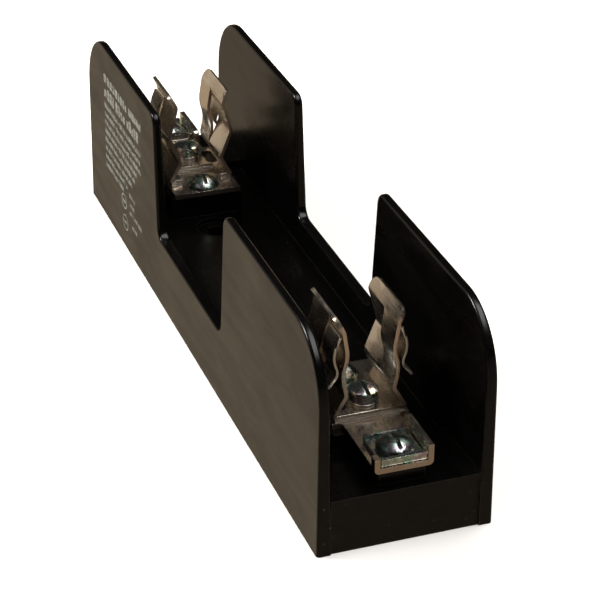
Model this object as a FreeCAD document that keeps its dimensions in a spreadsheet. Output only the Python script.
"""Single-pole open cartridge fuse holder: a moulded block with a spring clip and a screw terminal each end.

Frame: +X runs along the block to the line end, +Y across it, +Z up; the origin is at the middle of the
mounting face. Lengths are in millimetres.
"""
import FreeCAD, Part
import math
import os

import Sketcher

V = FreeCAD.Vector

# each end of the block, and what an expression along X starts with there
ENDS = {"line": "", "load": "0 - "}

DIMENSIONS = {
    # how far features reach into the solid that they join, and past the solid that they cut
    "embed": 0.5, "overshoot": 1.0,
    # moulded block
    "block_length": 176.0, "block_width": 38.0, "wall_top": 47.5, "wall_foot_thickness": 3.0,
    "wall_rim_thickness": 2.0, "wall_draft": 0.45, "floor_top": 10.4, "sill_top": 12.4,
    "notch_foot_half": 24.5, "notch_mouth_half": 27.0, "notch_floor": 17.0, "end_corner_radius": 15.0,
    "small_corner_radius": 3.0, "rim_radius": 0.7, "end_recess": 0.4,
    "platform_inner": 45.0, "platform_outer": 70.0, "platform_half_width": 8.9, "seat_top": 15.8,
    "boss_inner": 72.5, "boss_outer": 85.1, "boss_half_width": 5.0,
    "panel_hole_offset": 38.0, "panel_hole_radius": 2.6, "counterbore_radius": 5.0, "counterbore_depth": 1.2,
    "key_offset": 61.4, "key_side": 5.45, "key_length": 7.0, "key_width": 2.5, "key_top": 18.0,
    "key_clearance": 0.15, "key_round": 1.2,
    # contact strap
    "strap_thickness": 1.2, "strap_half_width": 8.4, "strap_shoulder": 67.6, "tongue_half_width": 6.3,
    "tongue_end": 86.2, "wing_start": 72.6, "wing_top": 20.5, "tab_start": 84.2, "tab_top": 19.2,
    "bend_radius": 1.0, "wing_corner_radius": 1.6,
    # clip
    "clip_inner": 50.4, "clip_outer": 67.2, "backing_thickness": 0.6, "backing_half_width": 7.7,
    "clip_thickness": 0.8, "clip_relief": 57.4, "relief_half_width": 5.0, "hinge_side": 7.7,
    "hinge_relief_radius": 0.56,
    "waist_side": 5.2, "waist_height": 22.8, "cradle_side": 8.0, "cradle_height": 29.9,
    "recess_side": 6.2, "recess_height": 27.6, "bulge_side": 5.0, "bulge_height": 31.8,
    "lip_side": 5.95, "lip_height": 37.8, "lip_flare": 1.4, "lip_top": 40.6, "leaf_bend_radius": 1.6,
    "finger_curve_radius": 8.0, "slit_position": 59.8, "slit_width": 0.5, "slit_foot": 23.5,
    "slit_head": 36.8, "lip_corner_radius": 2.4,
    # jaw spring
    "spring_thickness": 0.6, "spring_inner": 60.6, "spring_outer": 66.9, "spring_bow": 8.3,
    "spring_bow_height": 32.3, "spring_touch_height": 28.1, "spring_touch_side": 6.9,
    "spring_head_height": 36.6, "spring_head_side": 6.6, "tail_side": 9.2, "tail_height": 25.2,
    "bow_radius": 6.5, "touch_radius": 2.2,
    # fasteners
    "clip_screw_offset": 63.2, "clip_screw_head_radius": 3.1, "clip_screw_head_height": 3.1,
    "clip_screw_crown": 0.7,
    "washer_thickness": 0.9, "washer_radius": 3.2, "washer_gap": 0.9,
    "screw_radius": 2.08, "screw_length": 11.5, "screw_point": 0.6, "slot_width": 1.0, "slot_depth": 1.1,
    "cross_width": 0.9, "cross_depth": 1.4, "clearance_radius": 2.3,
    "strap_screw_offset": 49.2, "strap_screw_head_radius": 4.1, "strap_screw_head_height": 2.5,
    "strap_screw_crown": 2.2,
    "strap_screw_radius": 1.75, "strap_screw_length": 9.0,
    "insert_radius": 3.2, "insert_length": 9.0, "insert_chamfer": 0.4, "thread_gap": 0.04,
    "terminal_offset": 80.8, "terminal_head_radius": 3.9, "terminal_head_height": 2.5,
    "terminal_crown": 1.5,
    "plate_thickness": 0.9, "plate_inner": 75.6, "plate_outer": 86.1, "plate_half_width": 4.85,
    "plate_lip_height": 1.0, "seat_gap": 0.02,
}

doc = FreeCAD.newDocument("fuse_holder")
sheet = doc.addObject("Spreadsheet::Sheet", "dims")
for row, (alias, size) in enumerate(DIMENSIONS.items(), start=1):
    sheet.set(f"A{row}", alias)
    sheet.set(f"B{row}", str(size))
    sheet.setAlias(f"B{row}", alias)
doc.recompute()


def formula(text):
    """Write an expression on the sheet's aliases: every word in it becomes a cell of the sheet."""
    words = text.replace("(", " ( ").replace(")", " ) ").split()
    return " ".join(f"dims.{word}" if word in DIMENSIONS else word for word in words)


def number(text):
    """Value of such an expression, in millimetres."""
    return float(sheet.evalExpression(formula(text)))


# ---------------------------------------------------------------- sketches and features

def new_body(name):
    body = doc.addObject("PartDesign::Body", name)
    body.Label = name
    return body


def new_sketch(body, name, plane, offset=None):
    """A sketch on one of the body's own origin planes, moved along its normal by an expression."""
    sketch = body.newObject("Sketcher::SketchObject", f"{body.Name}_{name}")
    support = [f for f in body.Origin.OriginFeatures if f.Role == plane][0]
    sketch.AttachmentSupport = [(support, "")]
    sketch.MapMode = "FlatFace"
    if offset:
        sketch.setExpression("AttachmentOffset.Base.z", formula(offset))
    return sketch


def fix_point(sketch, geometry, end, x_text, y_text):
    """Tie one point of the sketch to its two coordinates on the sheet."""
    for kind, text in (("DistanceX", x_text), ("DistanceY", y_text)):
        row = sketch.addConstraint(Sketcher.Constraint(kind, -1, 1, geometry, end, number(text)))
        sketch.setExpression(f"Constraints[{row}]", formula(text))


def add_polygon(sketch, corners):
    """A closed outline through corners, each a pair of expressions."""
    points = [V(number(x), number(y), 0) for x, y in corners]
    first = sketch.GeometryCount
    count = len(points)
    for i in range(count):
        sketch.addGeometry(Part.LineSegment(points[i], points[(i + 1) % count]), False)
    for i in range(count):
        sketch.addConstraint(Sketcher.Constraint("Coincident", first + i, 2, first + (i + 1) % count, 1))
        fix_point(sketch, first + i, 1, *corners[i])


def add_rectangle(sketch, x_low, x_high, y_low, y_high):
    add_polygon(sketch, [(x_low, y_low), (x_high, y_low), (x_high, y_high), (x_low, y_high)])


def add_circle(sketch, x, y, radius):
    circle = sketch.addGeometry(Part.Circle(V(number(x), number(y), 0), V(0, 0, 1), number(radius)), False)
    fix_point(sketch, circle, 3, x, y)
    row = sketch.addConstraint(Sketcher.Constraint("Radius", circle, number(radius)))
    sketch.setExpression(f"Constraints[{row}]", formula(radius))


def add_extrusion(body, kind, sketch, length=None, symmetric=False, backwards=False):
    """Pad or Pocket of a sketch; without a length it goes through everything."""
    feature = body.newObject(f"PartDesign::{kind}", f"{sketch.Name}_{kind.lower()}")
    feature.Profile = sketch
    if length:
        feature.setExpression("Length", formula(length))
    else:
        feature.Type = "ThroughAll"
    if symmetric:
        feature.SideType = "Symmetric"
    feature.Reversed = backwards
    sketch.Visibility = False
    return feature


def add_revolution(body, sketch):
    """Full turn of a half-section drawn on XZ about the Z axis."""
    feature = body.newObject("PartDesign::Revolution", f"{sketch.Name}_revolution")
    feature.Profile = sketch
    feature.ReferenceAxis = (sketch, ["V_Axis"])
    feature.Angle = 360
    return feature


def dress_up(body, kind, size, chosen):
    """Fillet or Chamfer on every edge of the body that the test chooses."""
    doc.recompute()
    names = [f"Edge{i}" for i, edge in enumerate(body.Shape.Edges, start=1) if chosen(edge)]
    dressed = body.Tip
    feature = body.newObject(f"PartDesign::{kind}", f"{body.Name}_{kind.lower()}_{len(body.Group)}")
    feature.Base = (dressed, names)
    feature.setExpression("Radius" if kind == "Fillet" else "Size", formula(size))
    doc.recompute()
    return feature


def near(a, b, tolerance=0.05):
    return abs(a - b) < tolerance


def runs_along(edge, axis):
    """True for a straight edge parallel to an axis."""
    if not isinstance(edge.Curve, Part.Line):
        return False
    return abs(abs(edge.Curve.Direction.dot(axis)) - 1) < 1e-4


def turn_to_load_end(piece):
    """The load end is the line end turned half round about Z."""
    half_turn = FreeCAD.Placement(V(0, 0, 0), FreeCAD.Rotation(V(0, 0, 1), 180))
    piece.Placement = half_turn.multiply(piece.Placement)


# ---------------------------------------------------------------- moulded block

BLOCK_HOLES = (
    # name, distance from the middle, radius, top, depth (None goes through)
    ("panel_holes", "panel_hole_offset", "panel_hole_radius", "floor_top + overshoot", None),
    ("counterbores", "panel_hole_offset", "counterbore_radius", "floor_top + overshoot",
     "counterbore_depth + overshoot"),
    ("clip_insert_holes", "clip_screw_offset", "insert_radius", "seat_top", "insert_length"),
    ("clip_tip_holes", "clip_screw_offset", "clearance_radius", "seat_top", "insert_length + 3"),
    ("terminal_insert_holes", "terminal_offset", "insert_radius", "seat_top", "insert_length"),
    ("terminal_tip_holes", "terminal_offset", "clearance_radius", "seat_top", "insert_length + 3"),
    ("strap_screw_holes", "strap_screw_offset", "strap_screw_radius", "seat_top", "strap_screw_length"),
)


def make_block():
    body = new_body("base_moulding")
    add_walls(body)
    round_walls(body)
    add_platforms(body)
    add_keys(body)
    for name, offset, radius, top, depth in BLOCK_HOLES:
        holes = new_sketch(body, name, "XY_Plane", top)
        for sign in ENDS.values():
            add_circle(holes, f"{sign}{offset}", "0", radius)
        add_extrusion(body, "Pocket", holes, depth)
    return body


def add_walls(body):
    """U section with drafted walls, and the wide notch that opens both of them at the middle."""
    half = "block_width / 2"
    inner_foot = "( block_width / 2 - wall_foot_thickness )"
    inner_rim = "( block_width / 2 - wall_draft - wall_rim_thickness )"
    outer_rim = "( block_width / 2 - wall_draft )"
    section = new_sketch(body, "section", "YZ_Plane")
    add_polygon(section, [
        (f"0 - {half}", "0"), (half, "0"), (outer_rim, "wall_top"), (inner_rim, "wall_top"),
        (inner_foot, "floor_top"), (f"0 - {inner_foot}", "floor_top"), (f"0 - {inner_rim}", "wall_top"),
        (f"0 - {outer_rim}", "wall_top")])
    add_extrusion(body, "Pad", section, "block_length", symmetric=True)
    notch = new_sketch(body, "notch", "XZ_Plane")
    add_polygon(notch, [("0 - notch_foot_half", "notch_floor"), ("notch_foot_half", "notch_floor"),
                        ("notch_mouth_half", "wall_top + overshoot"),
                        ("0 - notch_mouth_half", "wall_top + overshoot")])
    add_extrusion(body, "Pocket", notch, "block_width * 2", symmetric=True)


def round_walls(body):
    """Large corners at the block's ends, small ones at the notch, and a soft rim all along."""
    across = V(0, 1, 0)
    end, top = number("block_length / 2"), number("wall_top")
    notch_reach, notch_floor = number("notch_mouth_half + overshoot"), number("notch_floor")
    dress_up(body, "Fillet", "end_corner_radius", lambda e: runs_along(e, across)
             and near(abs(e.CenterOfMass.x), end) and near(e.CenterOfMass.z, top))
    dress_up(body, "Fillet", "small_corner_radius", lambda e: runs_along(e, across)
             and abs(e.CenterOfMass.x) < notch_reach
             and (near(e.CenterOfMass.z, top) or near(e.CenterOfMass.z, notch_floor)))
    dress_up(body, "Fillet", "rim_radius", is_rim)


def is_rim(edge):
    """An edge of the walls' side outline above the notch's floor; it runs along a wall, not across it."""
    box = edge.BoundBox
    crosses_wall = box.YLength > number("wall_rim_thickness") / 2
    return not crosses_wall and edge.Length > number("rim_radius") and box.ZMin > number("notch_floor") - 0.05


def add_platforms(body):
    """Clip platforms, terminal bosses, and the sill across each end with its shallow outer recess."""
    inner_foot = "( block_width / 2 - wall_foot_thickness )"
    foot = "floor_top - embed"
    platform = new_sketch(body, "platforms", "XY_Plane", foot)
    sill = new_sketch(body, "sills", "XY_Plane", foot)
    boss = new_sketch(body, "terminal_bosses", "XY_Plane", foot)
    recess = new_sketch(body, "end_recess", "XY_Plane", "0 - overshoot")
    for sign in ENDS.values():
        add_rectangle(platform, f"{sign}platform_inner", f"{sign}platform_outer",
                      "0 - platform_half_width", "platform_half_width")
        add_rectangle(sill, f"{sign}( platform_outer - overshoot )", f"{sign}( block_length / 2 )",
                      f"0 - {inner_foot}", inner_foot)
        add_rectangle(boss, f"{sign}boss_inner", f"{sign}boss_outer",
                      "0 - boss_half_width", "boss_half_width")
        add_rectangle(recess, f"{sign}( block_length / 2 - end_recess )",
                      f"{sign}( block_length / 2 + overshoot )", f"0 - {inner_foot}", inner_foot)
    add_extrusion(body, "Pad", platform, "seat_top - floor_top + embed")
    add_extrusion(body, "Pad", sill, "sill_top - floor_top + embed")
    add_extrusion(body, "Pad", boss, "seat_top - floor_top + embed")
    add_extrusion(body, "Pocket", recess, "sill_top + 2 * overshoot", backwards=True)


def add_keys(body):
    """Round-ended keys on the platforms that stop the strap and clip from turning."""
    keys = new_sketch(body, "keys", "XY_Plane", "seat_top - embed")
    for sign in ENDS.values():
        add_key_outline(keys, sign, "0")
    add_extrusion(body, "Pad", keys, "key_top - seat_top + embed")
    round_key(body, "key_round")


def add_key_outline(sketch, sign, clearance):
    """A locating key's rectangle, on the -Y side at the line end and the +Y side at the load end."""
    other = ENDS["load"] if sign == ENDS["line"] else ENDS["line"]
    length = f"( key_length / 2 + {clearance} )"
    width = f"( key_width / 2 + {clearance} )"
    add_rectangle(sketch, f"{sign}( key_offset - {length} )", f"{sign}( key_offset + {length} )",
                  f"{other}( key_side - {width} )", f"{other}( key_side + {width} )")


def round_key(body, radius):
    """Round the upright corners of the locating keys, or of the hole that one stands in."""
    along = number("key_length / 2 + key_clearance * 1.2")
    side = number("key_width / 2 + key_clearance * 1.2")
    dress_up(body, "Fillet", radius, lambda e: runs_along(e, V(0, 0, 1))
             and near(abs(e.CenterOfMass.x), number("key_offset"), along)
             and near(abs(e.CenterOfMass.y), number("key_side"), side))


# ---------------------------------------------------------------- contact strap

def make_strap(name, sign):
    """Flat strap under the clip with a tongue at the terminal; its long wing is always on the +Y side."""
    body = new_body(name)
    s = sign
    half, tongue = "strap_half_width", "tongue_half_width"
    flat = new_sketch(body, "flat", "XY_Plane", "seat_top")
    add_polygon(flat, [
        (f"{s}platform_inner", f"0 - {half}"), (f"{s}strap_shoulder", f"0 - {half}"),
        (f"{s}strap_shoulder", f"0 - {tongue}"), (f"{s}tongue_end", f"0 - {tongue}"),
        (f"{s}tongue_end", tongue), (f"{s}strap_shoulder", tongue),
        (f"{s}strap_shoulder", half), (f"{s}platform_inner", half)])
    add_extrusion(body, "Pad", flat, "strap_thickness")
    for part, start, top, side in (("wing", "wing_start", "wing_top", "0 - tongue_half_width"),
                                   ("tab", "tab_start", "tab_top",
                                    "tongue_half_width - strap_thickness")):
        flange = new_sketch(body, part, "XZ_Plane", side)
        add_rectangle(flange, f"{s}{start}", f"{s}tongue_end", "seat_top", top)
        add_extrusion(body, "Pad", flange, "strap_thickness")
    along, across = V(1, 0, 0), V(0, 1, 0)
    dress_up(body, "Fillet", "bend_radius", lambda e: runs_along(e, along)
             and near(abs(e.CenterOfMass.y), number(tongue)) and near(e.CenterOfMass.z, number("seat_top"))
             and abs(e.CenterOfMass.x) > number("wing_start"))
    dress_up(body, "Fillet", "wing_corner_radius", lambda e: runs_along(e, across)
             and near(abs(e.CenterOfMass.x), number("wing_start"))
             and near(e.CenterOfMass.z, number("wing_top")))
    holes = new_sketch(body, "holes", "XY_Plane", "seat_top + strap_thickness")
    for offset in ("strap_screw_offset", "clip_screw_offset", "terminal_offset"):
        add_circle(holes, f"{s}{offset}", "0", "clearance_radius")
    add_key_outline(holes, s, "key_clearance")
    add_extrusion(body, "Pocket", holes)
    round_key(body, "key_round + key_clearance")
    return body


# ---------------------------------------------------------------- spring clip

def make_clip_plate(name, level, thickness, half_width, relieved):
    """Flat layer of the clip, cut back at its inner end round the strap screw's head."""
    body = new_body(name)
    flat = new_sketch(body, "flat", "XY_Plane", level)
    add_polygon(flat, [
        ("clip_inner", f"0 - {half_width}"), ("clip_outer", f"0 - {half_width}"), ("clip_outer", half_width),
        ("clip_inner", half_width), ("clip_inner", "relief_half_width"), ("clip_relief", "relief_half_width"),
        ("clip_relief", "0 - relief_half_width"), ("clip_inner", "0 - relief_half_width")])
    add_extrusion(body, "Pad", flat, thickness)
    if relieved:
        grooves = new_sketch(body, "hinge_grooves", "YZ_Plane", "clip_inner - 5 * overshoot")
        for sign in ("", "0 - "):
            add_circle(grooves, f"{sign}hinge_side", f"{level} + {thickness}", "hinge_relief_radius")
        add_extrusion(body, "Pocket", grooves, backwards=True)
    holes = new_sketch(body, "holes", "XY_Plane", f"{level} + {thickness}")
    add_circle(holes, "clip_screw_offset", "0", "clearance_radius")
    add_key_outline(holes, ENDS["line"], "key_clearance")
    add_extrusion(body, "Pocket", holes)
    round_key(body, "key_round + key_clearance")
    return body


def offset_path(path, distance):
    """Corners of a polyline moved sideways by a distance, with mitred corners."""
    normals = []
    for (y0, z0), (y1, z1) in zip(path, path[1:]):
        run = math.hypot(y1 - y0, z1 - z0)
        normals.append(((z1 - z0) / run, (y0 - y1) / run))
    moved = []
    for i, (y, z) in enumerate(path):
        before, after = normals[max(i - 1, 0)], normals[min(i, len(normals) - 1)]
        scale = distance / (1 + before[0] * after[0] + before[1] * after[1])
        moved.append((y + scale * (before[0] + after[0]), z + scale * (before[1] + after[1])))
    return moved


def bend_edges(path, radii, x):
    """Straight runs through a path at one station along X, joined by tangent arcs."""
    points = [V(x, y, z) for y, z in path]
    edges, start = [], points[0]
    for before, corner, after, radius in zip(points, points[1:], points[2:], radii):
        back, ahead = (before - corner).normalize(), (after - corner).normalize()
        half_turn = (math.pi - back.getAngle(ahead)) / 2
        reach = radius * math.tan(half_turn)
        middle = corner + (back + ahead).normalize() * (radius / math.cos(half_turn) - radius)
        edges.append(Part.LineSegment(start, corner + back * reach).toShape())
        edges.append(Part.Arc(corner + back * reach, middle, corner + ahead * reach).toShape())
        start = corner + ahead * reach
    edges.append(Part.LineSegment(start, points[-1]).toShape())
    return edges


def formed_strip(path, thickness, bends, low, high, round_foot=False):
    """Strip along a centre path in YZ, with a radius for each bend, extruded along X from low to high."""
    sides = []
    for half in (thickness / 2, -thickness / 2):
        moved = offset_path(path, half)
        radii = []
        for a, b, c, radius in zip(path, path[1:], path[2:], bends):
            turn = (b[0] - a[0]) * (c[1] - b[1]) - (b[1] - a[1]) * (c[0] - b[0])
            radii.append(number(radius) + half * (1 if turn > 0 else -1))
        sides.append(bend_edges(moved, radii, low))
    right, left = sides
    head = Part.LineSegment(right[-1].Vertexes[-1].Point, left[-1].Vertexes[-1].Point).toShape()
    foot_ends = left[0].Vertexes[0].Point, right[0].Vertexes[0].Point
    if round_foot:
        along = V(0, path[1][0] - path[0][0], path[1][1] - path[0][1]).normalize()
        nose = V(low, *path[0]) - along * (thickness / 2)
        foot = Part.Arc(foot_ends[0], nose, foot_ends[1]).toShape()
    else:
        foot = Part.LineSegment(*foot_ends).toShape()
    outline = Part.Wire(Part.__sortEdges__(right + [head] + left + [foot]))
    return Part.Face(outline).extrude(V(high - low, 0, 0))


def jaw_shape(side):
    """One jaw: a formed leaf slit into a cradling finger and a gripping finger, joined at waist and lip."""
    def points(*pairs):
        return [(side * number(y), number(z)) for y, z in pairs]

    level = "seat_top + strap_thickness + backing_thickness + clip_thickness"
    foot = [("hinge_side", level), ("waist_side", "waist_height")]
    head = [("lip_side", "lip_height"), ("lip_side + lip_flare", "lip_top")]
    cradle_path = points(*foot, ("cradle_side", "cradle_height"), *head)
    grip_path = points(*foot, ("recess_side", "recess_height"), ("bulge_side", "bulge_height"), *head)
    low, slit, high = number("clip_inner"), number("slit_position"), number("clip_outer")
    thickness, bend, curve = number("clip_thickness"), "leaf_bend_radius", "finger_curve_radius"
    cradle = formed_strip(cradle_path, thickness, (bend, bend, bend), low, slit, round_foot=True)
    grip = formed_strip(grip_path, thickness, (bend, curve, curve, bend), slit, high, round_foot=True)
    opening = Part.makeBox(number("slit_width"), 8, number("slit_head") - number("slit_foot"),
                           V(slit - number("slit_width") / 2, side * 7 - 4, number("slit_foot")))
    leaf = cradle.fuse(grip).cut(opening).removeSplitter()
    top = number("lip_top")
    corners = [e for e in leaf.Edges if e.Length < 2 * thickness and e.CenterOfMass.z > top - 1
               and (near(e.CenterOfMass.x, low) or near(e.CenterOfMass.x, high))
               and e.BoundBox.XLength < 0.01 and e.BoundBox.ZMin > number("lip_height")]
    return leaf.makeFillet(number("lip_corner_radius"), corners)


def jaw_spring_shape(side):
    """Bowed spring leaf behind the gripping finger, touching it above and below, with a flared tail."""
    path = [(side * number(y), number(z)) for y, z in (
        ("tail_side", "tail_height"), ("spring_touch_side", "spring_touch_height"),
        ("spring_bow", "spring_bow_height"), ("spring_head_side", "spring_head_height"))]
    return formed_strip(path, number("spring_thickness"), ("touch_radius", "bow_radius"),
                        number("spring_inner"), number("spring_outer"))


def add_formed_piece(name, shape):
    piece = doc.addObject("Part::Feature", name)
    piece.Label = name
    piece.Shape = shape
    return piece


# ---------------------------------------------------------------- fasteners

def make_screw(name, offset, base, head, height, crown, radius, length, sign, cross):
    """Screw with a domed head on its seat, a plain shank below it, a driver slot and maybe a cross."""
    body = new_body(name)
    section = new_sketch(body, "section", "XZ_Plane")
    corners = [("0", height), ("0", f"0 - {length}"), (f"{radius} - screw_point", f"0 - {length}"),
               (radius, f"0 - {length} + screw_point"), (radius, "0"), (head, "0"),
               (head, f"{height} - {crown}")]
    points = [V(number(x), number(z), 0) for x, z in corners]
    for start, end in zip(points, points[1:]):
        section.addGeometry(Part.LineSegment(start, end), False)
    dome_radius = (number(head) ** 2 + number(crown) ** 2) / (2 * number(crown))
    centre = V(0, number(height) - dome_radius, 0)
    rise = math.atan2(points[-1].y - centre.y, points[-1].x)
    circle = Part.Circle(centre, V(0, 0, 1), dome_radius)
    dome = section.addGeometry(Part.ArcOfCircle(circle, rise, math.pi / 2), False)
    for i, (x, z) in enumerate(corners[:-1]):
        fix_point(section, i, 1, x, z)
        section.addConstraint(Sketcher.Constraint("Coincident", i, 2, i + 1, 1))
    fix_point(section, dome - 1, 2, *corners[-1])
    section.addConstraint(Sketcher.Constraint("Coincident", dome, 2, 0, 1))
    section.addConstraint(Sketcher.Constraint("PointOnObject", dome, 3, -2))
    add_revolution(body, section)
    slot = new_sketch(body, "driver_slot", "XY_Plane", f"{height} + overshoot")
    add_rectangle(slot, f"0 - {head} * 2", f"{head} * 2", "0 - slot_width / 2", "slot_width / 2")
    add_extrusion(body, "Pocket", slot, "slot_depth + overshoot")
    if cross:
        bar = new_sketch(body, "cross_slot", "XY_Plane", f"{height} + overshoot")
        add_rectangle(bar, "0 - cross_width / 2", "cross_width / 2", f"0 - {head} * 0.62", f"{head} * 0.62")
        add_extrusion(body, "Pocket", bar, "cross_depth + overshoot")
    doc.recompute()
    body.Placement = FreeCAD.Placement(V(number(f"{sign}{offset}"), 0, number(base)), FreeCAD.Rotation())
    return body


def make_insert(name, offset, sign):
    """Brass threaded insert moulded into the block, plain-bored to the screw's major diameter."""
    body = new_body(name)
    ring = new_sketch(body, "ring", "XY_Plane")
    add_circle(ring, "0", "0", "insert_radius")
    add_circle(ring, "0", "0", "screw_radius + thread_gap")
    add_extrusion(body, "Pad", ring, "insert_length")
    dress_up(body, "Chamfer", "insert_chamfer",
             lambda e: e.Length > number("insert_radius") * 6 and e.CenterOfMass.z < 1)
    body.Placement = FreeCAD.Placement(
        V(number(f"{sign}{offset}"), 0, number("seat_top - insert_length")), FreeCAD.Rotation())
    return body


def make_lock_washer(name, sign):
    """Split lock washer under the clip screw's head."""
    ring = doc.addObject("Part::Cylinder", f"{name}_outside")
    ring.setExpression("Radius", formula("washer_radius"))
    ring.setExpression("Height", formula("washer_thickness"))
    bore = doc.addObject("Part::Cylinder", f"{name}_bore")
    bore.setExpression("Radius", formula("screw_radius + 0.1"))
    bore.setExpression("Height", formula("washer_thickness"))
    gap = doc.addObject("Part::Box", f"{name}_gap")
    gap.setExpression("Length", formula("washer_radius + 1"))
    gap.setExpression("Width", formula("washer_gap"))
    gap.setExpression("Height", formula("washer_thickness"))
    gap.Placement = FreeCAD.Placement(V(0, -number("washer_gap") / 2, 0), FreeCAD.Rotation(V(0, 0, 1), 35))
    tools = doc.addObject("Part::MultiFuse", f"{name}_tools")
    tools.Shapes = [bore, gap]
    washer = doc.addObject("Part::Cut", name)
    washer.Label = name
    washer.Base = ring
    washer.Tool = tools
    level = number("seat_top + strap_thickness + backing_thickness + clip_thickness")
    washer.Placement = FreeCAD.Placement(V(number(f"{sign}clip_screw_offset"), 0, level), FreeCAD.Rotation())
    return washer


def make_pressure_plate(name):
    """Square wire clamp with its two ends formed up so that the wire is led in under it."""
    body = new_body(name)
    base = "seat_top + strap_thickness + seat_gap"
    flat = new_sketch(body, "flat", "XY_Plane", base)
    add_rectangle(flat, "plate_inner", "plate_outer", "0 - plate_half_width", "plate_half_width")
    add_extrusion(body, "Pad", flat, "plate_thickness")
    rims = new_sketch(body, "rims", "XZ_Plane")
    for start, end in (("plate_inner", "plate_inner + plate_thickness"),
                       ("plate_outer - plate_thickness", "plate_outer")):
        add_rectangle(rims, start, end, f"{base} + plate_thickness - 0.3",
                      f"{base} + plate_thickness + plate_lip_height")
    add_extrusion(body, "Pad", rims, "plate_half_width * 2", symmetric=True)
    low = number(base)
    dress_up(body, "Fillet", "plate_thickness * 0.7", lambda e: runs_along(e, V(0, 1, 0))
             and near(e.CenterOfMass.z, low))
    hole = new_sketch(body, "hole", "XY_Plane", f"{base} + plate_thickness + plate_lip_height + 1")
    add_circle(hole, "terminal_offset", "0", "clearance_radius")
    add_extrusion(body, "Pocket", hole)
    return body


# ---------------------------------------------------------------- assembly

pieces = [make_block()]
strap_top = "seat_top + strap_thickness"
clip_top = f"{strap_top} + backing_thickness + clip_thickness"
SCREWS = (
    # name, distance from the middle, seat, head radius, head height, crown, shank radius, length, cross
    ("clip_screw", "clip_screw_offset", f"{clip_top} + washer_thickness", "clip_screw_head_radius",
     "clip_screw_head_height", "clip_screw_crown", "screw_radius", "screw_length", False),
    ("strap_screw", "strap_screw_offset", strap_top, "strap_screw_head_radius",
     "strap_screw_head_height", "strap_screw_crown", "strap_screw_radius", "strap_screw_length", True),
    ("terminal_screw", "terminal_offset", f"{strap_top} + plate_thickness + 2 * seat_gap",
     "terminal_head_radius", "terminal_head_height", "terminal_crown", "screw_radius", "screw_length", True),
)
for end, sign in ENDS.items():
    turned = [
        make_clip_plate(f"{end}_clip_backing_plate", strap_top, "backing_thickness", "backing_half_width",
                        relieved=False),
        make_clip_plate(f"{end}_clip_base", f"{strap_top} + backing_thickness", "clip_thickness",
                        "hinge_side", relieved=True),
        make_pressure_plate(f"{end}_pressure_plate")]
    for side in (-1, 1):
        faces_front = side == -1 if end == "line" else side == 1
        jaw = f"{end}_front_jaw" if faces_front else f"{end}_back_jaw"
        turned.append(add_formed_piece(jaw, jaw_shape(side)))
        turned.append(add_formed_piece(f"{jaw}_spring", jaw_spring_shape(side)))
    doc.recompute()
    if end == "load":
        for piece in turned:
            turn_to_load_end(piece)
    pieces += turned
    pieces.append(make_strap(f"{end}_contact_strap", sign))
    for name, offset, seat, head, height, crown, radius, length, cross in SCREWS:
        pieces.append(make_screw(f"{end}_{name}", offset, seat, head, height, crown, radius, length,
                                 sign, cross))
    pieces.append(make_lock_washer(f"{end}_clip_lock_washer", sign))
    pieces.append(make_insert(f"{end}_clip_insert", "clip_screw_offset", sign))
    pieces.append(make_insert(f"{end}_terminal_insert", "terminal_offset", sign))
doc.recompute()

for item in doc.Objects:
    faults = [state for state in item.State if state in ("Invalid", "Error")]
    if faults:
        raise RuntimeError(f"{item.Label} is {faults}")
for piece in pieces:
    if piece.Shape.isNull() or not piece.Shape.isValid() or len(piece.Shape.Solids) != 1:
        raise RuntimeError(f"{piece.Label}: null, not valid or {len(piece.Shape.Solids)} solids")

os.makedirs("parts", exist_ok=True)
for piece in pieces:
    piece.Shape.exportStep(f"parts/{piece.Label}.step")
    box = piece.Shape.BoundBox
    print(f"{piece.Label:28s} {piece.Shape.Volume:9.1f} mm3  x {box.XMin:7.2f} {box.XMax:7.2f}"
          f"  y {box.YMin:7.2f} {box.YMax:7.2f}  z {box.ZMin:6.2f} {box.ZMax:6.2f}")
